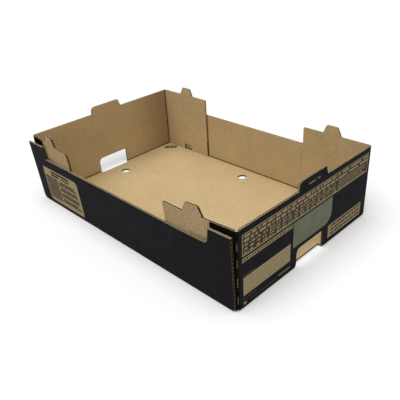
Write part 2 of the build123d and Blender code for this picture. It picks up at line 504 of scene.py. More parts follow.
def end_outline():
    """End wall: stacking tab on top, slot for the tab below at the foot."""
    tab_near = END_TAB_CENTRE - END_TAB_WIDTH / 2
    tab_far = END_TAB_CENTRE + END_TAB_WIDTH / 2
    tab_top = END_HEIGHT + END_TAB_RISE
    return [
        (-FRONT_FLAP_CREASE, 0, 0),
        (END_SLOT_NEAR, 0, LARGE_CORNER),
        (END_SLOT_NEAR, END_SLOT_HEIGHT, LARGE_CORNER),
        (END_SLOT_FAR, END_SLOT_HEIGHT, 0),
        (END_SLOT_FAR, 0, 0),
        (BACK_FLAP_CREASE, 0, 0),
        (BACK_FLAP_CREASE, END_HEIGHT, 0),
        (tab_far, END_HEIGHT, 0),
        (tab_far - END_TAB_FAR_SLANT, tab_top, SMALL_CORNER),
        (tab_near, tab_top, LARGE_CORNER),
        (tab_near, END_HEIGHT, 0),
        (-FRONT_FLAP_CREASE, END_HEIGHT, 0),
    ]


def flap_outline(free_slant=0, free_corner=0):
    """Flap with its corner fold: stacking tab on top, notch for the tab below at the foot."""
    return [
        (FLAP_FREE_EDGE, FLAP_BOTTOM, 0),
        (FLAP_NOTCH[0], FLAP_BOTTOM, 0),
        (FLAP_NOTCH[0], FLAP_NOTCH_HEIGHT, SMALL_CORNER),
        (FLAP_NOTCH[1], FLAP_NOTCH_HEIGHT, SMALL_CORNER),
        (FLAP_NOTCH[1], FLAP_BOTTOM, 0),
        (HALF_LENGTH, FLAP_BOTTOM, 0),
        (HALF_LENGTH, END_HEIGHT, 0),
        (FLAP_TAB_FOOT[1], END_HEIGHT, SMALL_CORNER),
        (FLAP_TAB_TOP[1], TAB_TOP, SMALL_CORNER),
        (FLAP_TAB_TOP[0], TAB_TOP, SMALL_CORNER),
        (FLAP_TAB_FOOT[0], END_HEIGHT, SMALL_CORNER),
        (FLAP_FREE_EDGE + free_slant, END_HEIGHT, free_corner),
    ]


def base_outline():
    """Base, seen from above: end cuts under the end slots and slits under the flap notches."""
    cut_x = HALF_LENGTH - END_SLOT_BASE_CUT
    slit_y = SIDE_CREASE - SLIT_WIDTH
    quarter = [
        (FLAP_NOTCH[0], SIDE_CREASE, 0),
        (FLAP_NOTCH[0], slit_y, 0),
        (FLAP_NOTCH[1], slit_y, 0),
        (FLAP_NOTCH[1], SIDE_CREASE, 0),
        (END_CREASE, SIDE_CREASE, 0),
    ]
    end_cut = [
        (END_CREASE, END_SLOT_FAR, 0),
        (cut_x, END_SLOT_FAR, SMALL_CORNER),
        (cut_x, END_SLOT_NEAR, SMALL_CORNER),
        (END_CREASE, END_SLOT_NEAR, 0),
    ]
    right = quarter + end_cut + [(x, -y, radius) for x, y, radius in reversed(quarter)]
    left = [(-x, y, radius) for x, y, radius in reversed(right)]
    return right + left


# Cutters

def vent_posts():
    """Round posts where the base has its vents."""
    posts = bmesh.new()
    radius = VENT_DIAMETER / 2
    for x, y in ((VENT_X, VENT_END_OFFSET), (-VENT_X, VENT_END_OFFSET), (0, VENT_Y), (0, -VENT_Y)):
        post = bmesh.ops.create_cone(
            posts, cap_ends=True, segments=VENT_STEPS, radius1=radius, radius2=radius, depth=4 * BOARD,
        )
        bmesh.ops.rotate(posts, verts=post["verts"], matrix=Matrix.Rotation(pi / 2, 3, "X"))
        bmesh.ops.translate(posts, verts=post["verts"], vec=(x, 0, y))
    return posts


def perforation_blocks():
    """Blocks where dashes are cut through the outer liner along a corner fold."""
    start = HALF_LENGTH - FOLD_RADIUS
    near = start + FOLD_RADIUS * sin(pi / 4 - PERFORATION_HALF_ANGLE)
    far = start + FOLD_RADIUS * sin(pi / 4 + PERFORATION_HALF_ANGLE)
    blocks = bmesh.new()
    for low, high in PERFORATIONS:
        block = bmesh.ops.create_cube(blocks, size=1)
        bmesh.ops.scale(blocks, verts=block["verts"], vec=(far - near, 2 * BOARD, high - low))
        bmesh.ops.translate(blocks, verts=block["verts"], vec=((near + far) / 2, BOARD, (low + high) / 2))
    return blocks


# Places of flat points on the folded tray

def front_lean(x):
    """Lean of the front wall at a place along it."""
    eased = max(0, (x - LEAN_EASES_FROM) / (END_CREASE - LEAN_EASES_FROM))
    return FRONT_LEAN + (FRONT_LEAN_RIGHT_END - FRONT_LEAN) * eased


def wall_distance(height, depth, crease, lean=0):
    """Distance of a point of a folded-up wall from the tray's middle."""
    inner = crease + tan(lean) * max(height - BOARD, 0)
    outer = inner + BOARD / cos(lean)
    if height < FOLD_RADIUS * (1 - sin(lean)):
        fold_centre = crease + (BOARD - FOLD_RADIUS) * cos(lean) / (1 + sin(lean))
        outer = fold_centre + sqrt(FOLD_RADIUS**2 - (FOLD_RADIUS - height) ** 2)
    return inner + (outer - inner) * depth / BOARD


def flap_distance(along, height, depth, crease, lean=0):
    """Distance of a point of a flap from the tray's middle: upright at the corner, then along the long wall.

    The outer liner alone closes the end of the corner fold.
    """
    glued = min(1, max(0, (END_CREASE - along) / (END_CREASE - FLAP_GLUE_FROM)))
    on_wall = SIDE_CREASE + tan(lean) * (height - BOARD)
    outer = crease + BOARD + (on_wall - crease - BOARD) * glued
    inner = outer - BOARD
    into_fold = along - (HALF_LENGTH - FOLD_RADIUS)
    if into_fold > 0:
        outer += sqrt(max(0, FOLD_RADIUS**2 - into_fold**2)) - FOLD_RADIUS
    if along > HALF_LENGTH - MERGE and depth < BOARD - MERGE:
        return inner
    return inner + (outer - inner) * depth / BOARD


def base_point(along, depth, up):
    return along, up, BOARD - depth


def front_wall_point(along, depth, up):
    return along, -wall_distance(up, depth, SIDE_CREASE, front_lean(along)), up


def back_wall_point(along, depth, up):
    return along, wall_distance(up, depth, SIDE_CREASE), up


def end_wall_point(along, depth, up):
    return wall_distance(up, depth, END_CREASE), along, up


def front_flap_point(along, depth, up):
    return along, -flap_distance(along, up, depth, FRONT_FLAP_CREASE, FRONT_LEAN), up


def back_flap_point(along, depth, up):
    return along, flap_distance(along, up, depth, BACK_FLAP_CREASE), up


def on_the_left(point):
    """The same place on the left half of the tray."""
    def mirrored(along, depth, up):
        x, y, z = point(along, depth, up)
        return -x, y, z
    return mirrored


def steps(first, last, count):
    """Evenly spaced places between two, both left out."""
    return [first + (last - first) * i / count for i in range(1, count)]


def fold_rows():
    """Heights at which the fold at a wall's foot bends."""
    angles = [pi / 2 * i / FOLD_STEPS for i in range(1, FOLD_STEPS + 1)]
    return [FOLD_RADIUS * (1 - cos(angle)) for angle in angles] + [BOARD]


def fold_columns():
    """Places along a flap at which its corner fold bends."""
    angles = [pi / 2 * i / FOLD_STEPS for i in range(FOLD_STEPS)]
    return [END_CREASE] + [HALF_LENGTH - FOLD_RADIUS * (1 - sin(angle)) for angle in angles]


def fold_layer(bm, point, columns, rows):
    """Bends a flat layer to its place on the tray."""
    for column in columns:
        plane_cut(bm, ALONG, column)
    for row in rows:
        plane_cut(bm, UP, row)
    for vert in bm.verts:
        vert.co = point(*vert.co)
    bmesh.ops.remove_doubles(bm, verts=bm.verts[:], dist=MERGE)
    bmesh.ops.recalc_face_normals(bm, faces=bm.faces[:])
    return bm


# Shader nodes

def linear(red, green, blue):
    """A colour given in screen values, as the light that it stands for."""
    channels = []
    for value in (red, green, blue):
        share = value / 255
        channels.append(share / 12.92 if share <= 0.04045 else ((share + 0.055) / 1.055) ** 2.4)
    return (*channels, 1)


def add_node(tree, kind, inputs=None, **settings):
    """A shader node with its settings, and with a value or a link on each of the given inputs."""
    node = tree.nodes.new(kind)
    for name, value in settings.items():
        setattr(node, name, value)
    for name, value in (inputs or {}).items():
        if isinstance(value, bpy.types.NodeSocket):
            tree.links.new(value, node.inputs[name])
        else:
            node.inputs[name].default_value = value
    return node


def maths(tree, operation, *values):
    """The result of a Math node."""
    return add_node(tree, "ShaderNodeMath", dict(enumerate(values)), operation=operation).outputs[0]


def vector_maths(tree, operation, *values):
    """The result of a Vector Math node."""
    return add_node(tree, "ShaderNodeVectorMath", dict(enumerate(values)), operation=operation).outputs[0]


def product(tree, total, *values):
    """Several values or masks multiplied together."""
    for value in values:
        total = maths(tree, "MULTIPLY", total, value)
    return total


def union(tree, total, *masks):
    """The strongest of several masks."""
    for mask in masks:
        total = maths(tree, "MAXIMUM", total, mask)
    return total


def rest_of(tree, mask):
    """What a mask leaves free."""
    return maths(tree, "SUBTRACT", 1, mask)


def uneven(tree, pattern, swing):
    """A factor around 1, which a pattern takes up and down by half the swing."""
    return maths(tree, "MULTIPLY_ADD", pattern, swing, 1 - swing / 2)


def separate(tree, vector):
    """The three numbers of a vector."""
    return add_node(tree, "ShaderNodeSeparateXYZ", {0: vector}).outputs


def blend(tree, share, first, second):
    """Two colours mixed by a share."""
    return add_node(tree, "ShaderNodeMix", {0: share, 6: first, 7: second}, data_type="RGBA").outputs[2]


def shaded(tree, color, value):
    """A colour made lighter or darker."""
    return add_node(tree, "ShaderNodeHueSaturation", {"Color": color, "Value": value}).outputs[0]


def ramp(tree, value, low, high, bottom=0, top=1):
    """A value carried smoothly from one range to another and held at its ends."""
    inputs = {"Value": value, "From Min": low, "From Max": high, "To Min": bottom, "To Max": top}
    return add_node(tree, "ShaderNodeMapRange", inputs, interpolation_type="SMOOTHSTEP").outputs[0]


def noise(tree, position, scale, detail, roughness):
    """Noise from 0 to 1, with so many features to a metre."""
    inputs = {"Vector": position, "Scale": scale, "Detail": detail, "Roughness": roughness}
    return add_node(tree, "ShaderNodeTexNoise", inputs).outputs[0]


def flute_wave(tree, across_flutes):
    """Wave from -1 to 1 that follows the flutes."""
    distance = maths(tree, "SUBTRACT", across_flutes, FLUTE_START)
    return maths(tree, "SINE", product(tree, distance, 2 * pi / FLUTE_PITCH))


# Effects that several materials share

# Inputs of an effect in an area, inputs of one along a line, what both put out, and all the groups by name
AREA_INPUTS = {"Position": "Vector", "Centre": "Vector", "Half Size": "Vector"}
LINE_INPUTS = {"Position": "Vector", "Distance": "Float", "Reach": "Float"}
MASK_OUTPUT = {"Mask": "Float"}
GROUPS = {}


def new_group(name, inputs, outputs):
    """A shader node group: its tree, the sockets that bring values in, and those that take them out."""
    tree = bpy.data.node_groups.new(name, "ShaderNodeTree")
    for direction, sockets in (("INPUT", inputs), ("OUTPUT", outputs)):
        for label, kind in sockets.items():
            tree.interface.new_socket(label, in_out=direction, socket_type="NodeSocket" + kind)
    GROUPS[name] = tree
    return tree, tree.nodes.new("NodeGroupInput").outputs, tree.nodes.new("NodeGroupOutput").inputs


def use_group(tree, group, inputs):
    """What a group puts out where it is placed in a material."""
    return add_node(tree, "ShaderNodeGroup", inputs, node_tree=GROUPS[group]).outputs


def make_kraft_paper():
    """Unbleached paper: clouds, crossing fibres, dark and pale specks, and the flutes felt through it."""
    tree, given, out = new_group(
        "kraft_paper",
        {"Position": "Vector", "Across Flutes": "Float", "Tone": "Color", "Mottle": "Float"},
        {"Color": "Color", "Roughness": "Float", "Height": "Float"},
    )
    position = given["Position"]
    clouds = noise(tree, position, *PAPER_CLOUDS)
    grain = noise(tree, position, *PAPER_GRAIN)
    mottle = maths(tree, "SUBTRACT", noise(tree, position, *PAPER_MOTTLE), 0.5)
    lengthwise, upright = [
        noise(tree, vector_maths(tree, "MULTIPLY", position, stretch), *PAPER_FIBRES)
        for stretch in ((FIBRE_SLENDERNESS, 1, 1), (1, 1, FIBRE_SLENDERNESS))
    ]
    fibres = product(tree, maths(tree, "ADD", lengthwise, upright), 0.5)
    wave = flute_wave(tree, given["Across Flutes"])

    cells = add_node(tree, "ShaderNodeTexVoronoi", {"Vector": position, "Scale": SPECKS})
    draw, _, _ = separate(tree, cells.outputs["Color"])
    dot = ramp(tree, cells.outputs["Distance"], *SPECK_FADE)
    dark_speck = product(tree, dot, ramp(tree, draw, *DARK_SPECK_DRAW))
    pale_speck = product(tree, dot, ramp(tree, draw, *PALE_SPECK_DRAW))

    value = 1 - (CLOUD_TONE + GRAIN_TONE + FIBRE_TONE) / 2
    for pattern, strength in (
        (clouds, CLOUD_TONE), (grain, GRAIN_TONE), (mottle, given["Mottle"]), (fibres, FIBRE_TONE),
        (wave, FLUTE_TONE), (dark_speck, DARK_SPECK_TONE), (pale_speck, PALE_SPECK_TONE),
    ):
        value = maths(tree, "MULTIPLY_ADD", pattern, strength, value)
    height = 0
    for pattern, strength in ((fibres, FIBRE_RELIEF), (wave, FLUTE_RELIEF), (grain, GRAIN_RELIEF)):
        height = maths(tree, "MULTIPLY_ADD", pattern, strength, height)
    tree.links.new(shaded(tree, given["Tone"], value), out["Color"])
    tree.links.new(ramp(tree, fibres, *NOISE_RANGE, *PAPER_ROUGHNESS), out["Roughness"])
    tree.links.new(height, out["Height"])


def make_ink():
    """Water-based ink on kraft: uneven, with pinholes, and a little lighter along the flutes' crests."""
    tree, given, out = new_group(
        "ink_on_kraft",
        {"Position": "Vector", "Across Flutes": "Float", "Paper": "Color", "Ink": "Color", "Cover": "Float"},
        {"Color": "Color", "Roughness": "Float"},
    )
    pinholes = ramp(tree, noise(tree, given["Position"], *INK_PINHOLES), *PINHOLE_FADE)
    patches = noise(tree, given["Position"], *INK_PATCHES)
    wave = flute_wave(tree, given["Across Flutes"])
    shade = maths(tree, "MULTIPLY_ADD", wave, INK_FLUTE_TONE, uneven(tree, patches, INK_TONE))
    held = rest_of(tree, product(tree, pinholes, PINHOLE_STRENGTH))
    cover = product(tree, given["Cover"], held)
    dry = ramp(tree, patches, *NOISE_RANGE, *DRY_INK_ROUGHNESS)
    tree.links.new(blend(tree, cover, given["Paper"], shaded(tree, given["Ink"], shade)), out["Color"])
    tree.links.new(maths(tree, "MULTIPLY_ADD", cover, INK_ROUGHNESS_CHANGE, dry), out["Roughness"])


def place_in_area(tree, given):
    """Place from an area's centre, its half size, and the distance beyond its edge, each across and up."""
    x, y, _ = separate(tree, vector_maths(tree, "SUBTRACT", given["Position"], given["Centre"]))
    half_x, half_y, _ = separate(tree, given["Half Size"])
    outside_x = maths(tree, "SUBTRACT", maths(tree, "ABSOLUTE", x), half_x)
    outside_y = maths(tree, "SUBTRACT", maths(tree, "ABSOLUTE", y), half_y)
    return x, y, half_x, half_y, outside_x, outside_y


def make_printed_field():
    """Mask of a field with rounded corners. The rising ones are the lower left and the upper right."""
    tree, given, out = new_group(
        "printed_field", AREA_INPUTS | {"Rising Corners": "Float", "Falling Corners": "Float"}, MASK_OUTPUT,
    )
    x, y, _, _, outside_x, outside_y = place_in_area(tree, given)
    rising = maths(tree, "GREATER_THAN", product(tree, x, y), 0)
    spread = maths(tree, "SUBTRACT", given["Rising Corners"], given["Falling Corners"])
    radius = maths(tree, "MULTIPLY_ADD", rising, spread, given["Falling Corners"])
    over_x = maths(tree, "ADD", outside_x, radius)
    over_y = maths(tree, "ADD", outside_y, radius)
    beyond_x = maths(tree, "MAXIMUM", over_x, 0)
    beyond_y = maths(tree, "MAXIMUM", over_y, 0)
    squared = maths(tree, "MULTIPLY_ADD", beyond_x, beyond_x, product(tree, beyond_y, beyond_y))
    within = maths(tree, "MINIMUM", maths(tree, "MAXIMUM", over_x, over_y), 0)
    reach = maths(tree, "ADD", maths(tree, "SQRT", squared), within)
    distance = maths(tree, "SUBTRACT", reach, radius)
    tree.links.new(ramp(tree, distance, INK_EDGE, -INK_EDGE), out["Mask"])


def make_printed_bars():
    """Mask of rows of short bars in columns, with gaps and uneven row ends, as small print looks."""
    tree, given, out = new_group(
        "printed_bars",
        AREA_INPUTS | {
            "Row Pitch": "Float", "Bar Share": "Float", "Column Pitch": "Float", "Column Share": "Float",
            "Bar Length": "Float", "Gap": "Float", "Raggedness": "Float", "Seed": "Float",
        },
        MASK_OUTPUT,
    )
    x, y, half_x, half_y, outside_x, outside_y = place_in_area(tree, given)
    inside = maths(tree, "LESS_THAN", maths(tree, "MAXIMUM", outside_x, outside_y), 0)

    rows = maths(tree, "DIVIDE", maths(tree, "SUBTRACT", half_y, y), given["Row Pitch"])
    off_middle = maths(tree, "ABSOLUTE", maths(tree, "SUBTRACT", maths(tree, "FRACT", rows), 0.5))
    off_bar = maths(tree, "MULTIPLY_ADD", given["Bar Share"], -0.5, off_middle)
    in_row = ramp(tree, off_bar, BAR_EDGE, -BAR_EDGE)

    columns = maths(tree, "DIVIDE", maths(tree, "ADD", x, half_x), given["Column Pitch"])
    line = maths(tree, "MULTIPLY_ADD", maths(tree, "FLOOR", rows), ROW_DRAW, given["Seed"])
    line = maths(tree, "MULTIPLY_ADD", maths(tree, "FLOOR", columns), COLUMN_DRAW, line)
    chance = add_node(tree, "ShaderNodeTexWhiteNoise", {"W": line}, noise_dimensions="1D").outputs["Value"]
    kept = rest_of(tree, product(tree, chance, given["Raggedness"]))
    line_end = product(tree, given["Column Share"], kept)
    in_line = maths(tree, "LESS_THAN", maths(tree, "FRACT", columns), line_end)

    places = maths(tree, "ADD", maths(tree, "DIVIDE", x, given["Bar Length"]), line)
    bars = add_node(
        tree, "ShaderNodeTexVoronoi", {"W": places, "Scale": 1},
        voronoi_dimensions="1D", feature="DISTANCE_TO_EDGE",
    )
    in_bar = ramp(tree, maths(tree, "SUBTRACT", bars.outputs["Distance"], given["Gap"]), 0, BAR_EDGE)
    tree.links.new(product(tree, in_row, in_line, in_bar, inside), out["Mask"])


def steps_away(tree, distance, reach):
    """Distance to either side of a line, as a share of how far its effect reaches."""
    return maths(tree, "DIVIDE", maths(tree, "ABSOLUTE", distance), reach)


def make_rubs():
    """Mask of the fine cracks and rubs that a fold gets, fading away from it."""
    tree, given, out = new_group("fold_wear", LINE_INPUTS, MASK_OUTPUT)
    closeness = ramp(tree, steps_away(tree, given["Distance"], given["Reach"]), 1, 0)
    cracks = noise(tree, given["Position"], *RUB_CRACKS)
    patches = product(tree, noise(tree, given["Position"], *RUB_PATCHES), 1 - CRACK_SHARE)
    level = maths(tree, "MULTIPLY_ADD", cracks, CRACK_SHARE, patches)
    threshold = maths(tree, "MULTIPLY_ADD", closeness, RUB_LEVEL_AT_FOLD - RUB_LEVEL, RUB_LEVEL)
    rubbed = ramp(tree, maths(tree, "SUBTRACT", level, threshold), 0, RUB_EDGE)
    tree.links.new(product(tree, rubbed, closeness), out["Mask"])


def make_crease_shade():
    """Mask of painted shade in a crease's groove, a little uneven."""
    tree, given, out = new_group("painted_crease_shade", LINE_INPUTS, MASK_OUTPUT)
    wander = uneven(tree, noise(tree, given["Position"], *CREASE_WANDER), CREASE_UNEVENNESS)
    reach = product(tree, given["Reach"], wander)
    tree.links.new(ramp(tree, steps_away(tree, given["Distance"], reach), 1, CREASE_CORE), out["Mask"])


# Materials

def new_material(name):
    """A material, its tree, and the place of a point on the tray as a vector and as three numbers."""
    material = bpy.data.materials.new(name)
    material.use_nodes = True
    tree = material.node_tree
    place = tree.nodes.new("ShaderNodeTexCoord").outputs["Object"]
    return material, tree, place, separate(tree, place)


def dress(tree, color, roughness, height, relief, gloss=PAPER_GLOSS):
    """Gives the material's shader its colour, roughness and relief."""
    shader = tree.nodes["Principled BSDF"]
    bump = add_node(tree, "ShaderNodeBump", {"Height": height, "Distance": MM, "Strength": relief})
    tree.links.new(color, shader.inputs["Base Color"])
    tree.links.new(roughness, shader.inputs["Roughness"])
    tree.links.new(bump.outputs[0], shader.inputs["Normal"])
    shader.inputs["Specular IOR Level"].default_value = gloss


def near_lines(tree, group, place, axes, lines, reach):
    """Strongest mask of a group along some lines, each given as an axis and its place on it."""
    masks = []
    for axis, line in lines:
        distance = maths(tree, "SUBTRACT", axes[axis], line)
        inputs = {"Position": place, "Distance": distance, "Reach": reach}
        masks.append(use_group(tree, group, inputs)["Mask"])
    return union(tree, *masks)


def kraft_paper(tree, place, tone, across_flutes=0, mottle=0):
    """Paper of a tone, with its flutes and its mottle where they show."""
    return use_group(tree, "kraft_paper", {
        "Position": place, "Across Flutes": across_flutes, "Tone": tone, "Mottle": mottle,
    })


def ink_on_kraft(tree, place, paper, ink, cover, across_flutes):
    """Ink on paper, where its mask covers that."""
    return use_group(tree, "ink_on_kraft", {
        "Position": place, "Across Flutes": across_flutes, "Paper": paper, "Ink": ink, "Cover": cover,
    })


def kraft_inside(name, across_flutes, creases, mark=None, dull=(), wide_shade=0):
    """Bare inner paper with painted shade in its creases, and with a printed mark or wider painted shade
    beside some creases where they are given.
    """
    material, tree, place, axes = new_material(name)
    paper = kraft_paper(tree, place, linear(*KRAFT_INSIDE), axes[across_flutes], INSIDE_MOTTLE)
    brown = linear(*CREASE_SHADE_BROWN)
    # Painted shade along the creases
    crease_groove_shade = near_lines(tree, "painted_crease_shade", place, axes, creases, CREASE_REACH)
    color = blend(tree, product(tree, crease_groove_shade, CREASE_STRENGTH), paper["Color"], brown)
    if dull:
        # Wider painted shade beside the given creases
        near = near_lines(tree, "painted_crease_shade", place, axes, dull, WIDE_SHADE_REACH)
        color = blend(tree, product(tree, near, wide_shade), color, brown)
    if mark:
        ink = linear(*BROWN_INK)
        color = ink_on_kraft(tree, place, color, ink, mark(tree, place), axes[across_flutes])["Color"]
    height = maths(tree, "MULTIPLY_ADD", crease_groove_shade, CREASE_RELIEF, paper["Height"])
    dress(tree, color, paper["Roughness"], height, INSIDE_BUMP)
    return material


def cut_board(name, lit_top_tone, shaded_side_tone, foot_shade_tone=None):
    """Paper where it is cut through: rough with torn fibres, with painted light on top and painted shade at
    its sides.

    A foot shade tone adds painted shade to the sides in the slots and notches at the foot.
    """
    material, tree, place, axes = new_material(name)
    side = linear(*shaded_side_tone)
    # Painted shade on the sides of cuts below the foot shade height
    if foot_shade_tone:
        above_foot = ramp(tree, axes[Z], FOOT_SHADE_HEIGHT - BOARD, FOOT_SHADE_HEIGHT)
        side = blend(tree, above_foot, linear(*foot_shade_tone), side)
    # Painted light on upward cut faces and painted shade on their sides
    _, _, upward = separate(tree, tree.nodes.new("ShaderNodeNewGeometry").outputs["Normal"])
    tone = blend(tree, ramp(tree, upward, *LIT_TOP_SLOPE), side, linear(*lit_top_tone))
    paper = kraft_paper(tree, place, tone)
    torn = noise(tree, place, *TORN_FIBRES)
    height = maths(tree, "MULTIPLY_ADD", torn, TORN_RELIEF, paper["Height"])
    color = shaded(tree, paper["Color"], uneven(tree, torn, TORN_TONE))
    dress(tree, color, paper["Roughness"], height, CUT_BUMP)
    return material


class PrintedSheet:
    """What is printed on one panel. Places and sizes on it are given in millimetres."""

    def __init__(self, tree, across, up):
        self.tree = tree
        self.place = add_node(tree, "ShaderNodeCombineXYZ", {"X": across, "Y": up}).outputs[0]

    def area(self, left, right, low, high):
        """Inputs that say where on the sheet a group draws."""
        return {
            "Position": self.place,
            "Centre": ((left + right) / 2 * MM, (low + high) / 2 * MM, 0),
            "Half Size": ((right - left) / 2 * MM, (high - low) / 2 * MM, 0),
        }

    def field(self, left, right, low, high, rising=0, falling=0):
        """Mask of a field, with the radii of its rising and its falling corners."""
        corners = {"Rising Corners": rising * MM, "Falling Corners": falling * MM}
        return use_group(self.tree, "printed_field", self.area(left, right, low, high) | corners)["Mask"]

    def bars(
        self, left, right, low, high, length,
        rows=1, share=0.6, columns=1, filled=1, gap=0.09, ragged=0, seed=0,
    ):
        """Mask of rows of bars about as long as given, in columns that are filled up to a share."""
        look = {
            "Row Pitch": (high - low) / rows * MM, "Bar Share": share,
            "Column Pitch": (right - left) / columns * MM, "Column Share": filled,
            "Bar Length": length * MM, "Gap": gap, "Raggedness": ragged, "Seed": seed,
        }
        return use_group(self.tree, "printed_bars", self.area(left, right, low, high) | look)["Mask"]

    def together(self, *masks):
        """All that several masks print."""
        return union(self.tree, *masks)

    def tint(self, mask, strength):
        """A mask printed as a light tint."""
        return product(self.tree, mask, strength)

    def sparing(self, mask, spared):
        """What a mask prints where another doesn't."""
        return product(self.tree, mask, rest_of(self.tree, spared))


def printed_outside(
    name, across, up, across_flutes, folds, layout,
    tinted=None, tone=KRAFT_OUTSIDE, black=BLACK_INK, gloss=INK_GLOSS,
):
    """Outer paper printed black, but for what the layout leaves bare, and rubbed along its folds."""
    material, tree, place, axes = new_material(name)
    sheet = PrintedSheet(tree, axes[across], axes[up])
    paper = kraft_paper(tree, place, linear(*tone), axes[across_flutes], OUTSIDE_MOTTLE)
    bare, text = layout(sheet)
    rubbed = near_lines(tree, "fold_wear", place, axes, folds, RUB_REACH)
    inked = sheet.together(rest_of(tree, bare), text)
    cover = sheet.sparing(inked, product(tree, rubbed, RUB_BARENESS))
    ink = linear(*black)
    if tinted:
        ink = blend(tree, tinted(sheet), ink, linear(*GREY_GREEN_INK))
    printed = ink_on_kraft(tree, place, paper["Color"], ink, cover, axes[across_flutes])
    dress(tree, printed["Color"], printed["Roughness"], paper["Height"], OUTSIDE_BUMP, gloss)
    return material


# Print

def front_print(sheet):
    """Front wall: a bare label at the left end, with headings, a column of small print and paragraphs."""
    text = [
        sheet.field(*LABEL_TITLE),
        sheet.field(*LABEL_SUBTITLE),
        sheet.tint(sheet.field(*LABEL_PALE_SUBTITLE), 0.8),
        sheet.bars(*LABEL_LEFT_COLUMN, length=10, rows=9, share=0.7, gap=0.03, ragged=0.1, seed=3),
    ]
    for i, foot in enumerate(PARAGRAPH_FEET):
        place = (*LABEL_RIGHT_COLUMN, foot, foot + PARAGRAPH_HEIGHT)
        text.append(sheet.bars(*place, length=12, rows=2, share=0.74, gap=0.02, ragged=0.2, seed=10 + i))
    return sheet.field(*LABEL, rising=10, falling=4), sheet.together(*text)


def table_print(sheet):
    """Dark lines round the cells of the table: fine bars on a tint, but for the bare cells."""
    cells = sheet.together(
        sheet.bars(
            *UPPER_LEFT_CELLS, length=14, rows=2, share=0.62, columns=7, filled=0.95, gap=0.12, seed=38,
        ),
        sheet.bars(*UPPER_RIGHT_CELLS, length=42, rows=2, share=0.56, gap=0.06, seed=39),
        sheet.bars(
            *LOWER_LEFT_CELLS, length=9, rows=3, share=0.5, columns=4, filled=0.92, gap=0.14, ragged=0.4,
            seed=32,
        ),
        sheet.bars(
            *LOWER_MIDDLE_CELLS, length=8, rows=4, share=0.52, columns=12, filled=0.9, gap=0.12, ragged=0.4,
            seed=33,
        ),
        sheet.bars(*LOWER_RIGHT_CELLS, length=8, rows=4, share=0.46, gap=0.12, ragged=0.2, seed=34),
    )
    fine_bars = sheet.bars(*TABLE_BODY, length=3.4, rows=15, share=0.7, gap=0.06, seed=31)
    return sheet.sparing(sheet.together(fine_bars, sheet.tint(sheet.field(*TABLE_BODY), 0.68)), cells)


def right_end_print(sheet):
    """Right end wall: a table across the top, a strip and two boxes below it, and small marks."""
    faint = sheet.together(
        sheet.bars(*BARS_OVER_BLANK_BOX, length=6, seed=21),
        sheet.bars(*BARS_UNDER_BLANK_BOX, length=5, seed=22),
        sheet.bars(*FOOT_BARS, length=4, gap=0.15, seed=23),
    )
    pale = sheet.together(
        sheet.field(*FOOT_MARK),
        sheet.bars(*NEAR_TAB_BARS, length=6, gap=0.12, seed=24),
        sheet.bars(*FAR_TAB_BARS, length=6, gap=0.12, seed=27),
    )
    fields = [sheet.field(*place) for place in (TABLE, STRIP, BLANK_BOX, BARRED_BOX, CORNER_MARK)]
    text = sheet.together(
        table_print(sheet),
        sheet.bars(*STRIP_BARS, length=5, share=0.84, gap=0.22, seed=35),
        sheet.bars(*BARRED_BOX_BARS, length=15, rows=3, share=0.42, gap=0.06, seed=36),
    )
    return sheet.together(*fields, sheet.tint(pale, 0.7), sheet.tint(faint, 0.3)), text


def right_end_tint(sheet):
    """Right end wall: a plain grey-green field over the slot, with its lower far corner rounded off."""
    rounded = sheet.field(*TINTED_FIELD, falling=22)
    return maths(sheet.tree, "MINIMUM", rounded, sheet.field(*TINTED_FIELD_LIMIT))


def no_print(sheet):
    """Outside printed black all over: nothing bare, and no text."""
    return 0, 0


def flap_print(bleed):
    """Flap: black only where the print runs round the corner."""
    def layout(sheet):
        along = maths(sheet.tree, "ABSOLUTE", separate(sheet.tree, sheet.place)[0])
        return ramp(sheet.tree, along, bleed + INK_EDGE, bleed - INK_EDGE), 0
    return layout


def underside_print(sheet):
    """Underside: bare, but for the print that runs round the creases."""
    x = (END_CREASE - UNDERSIDE_PRINT_BORDER) / MM
    y = (SIDE_CREASE - UNDERSIDE_PRINT_BORDER) / MM
    return sheet.field(-x, x, -y, y), 0


def base_mark(tree, place):
    """Inside of the base: a faint row of bars printed slantwise near the back left corner."""
    from_centre = vector_maths(tree, "SUBTRACT", place, BASE_MARK_CENTRE)
    turned = add_node(
        tree, "ShaderNodeVectorRotate", {"Vector": from_centre, "Angle": -BASE_MARK_TURN},
        rotation_type="Z_AXIS",
    )
    x, y, _ = separate(tree, turned.outputs[0])
    return PrintedSheet(tree, x, y).bars(*BASE_MARK, length=10, rows=2, share=0.8, gap=0.03, seed=41)


# Pieces

def add_piece(name, bm, materials):
    """Adds a finished piece of the tray, which rides on its body in place of the plain solid."""
    piece = mesh_object(name, bm, materials)
    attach(piece, "root")
    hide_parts("folded_tray")


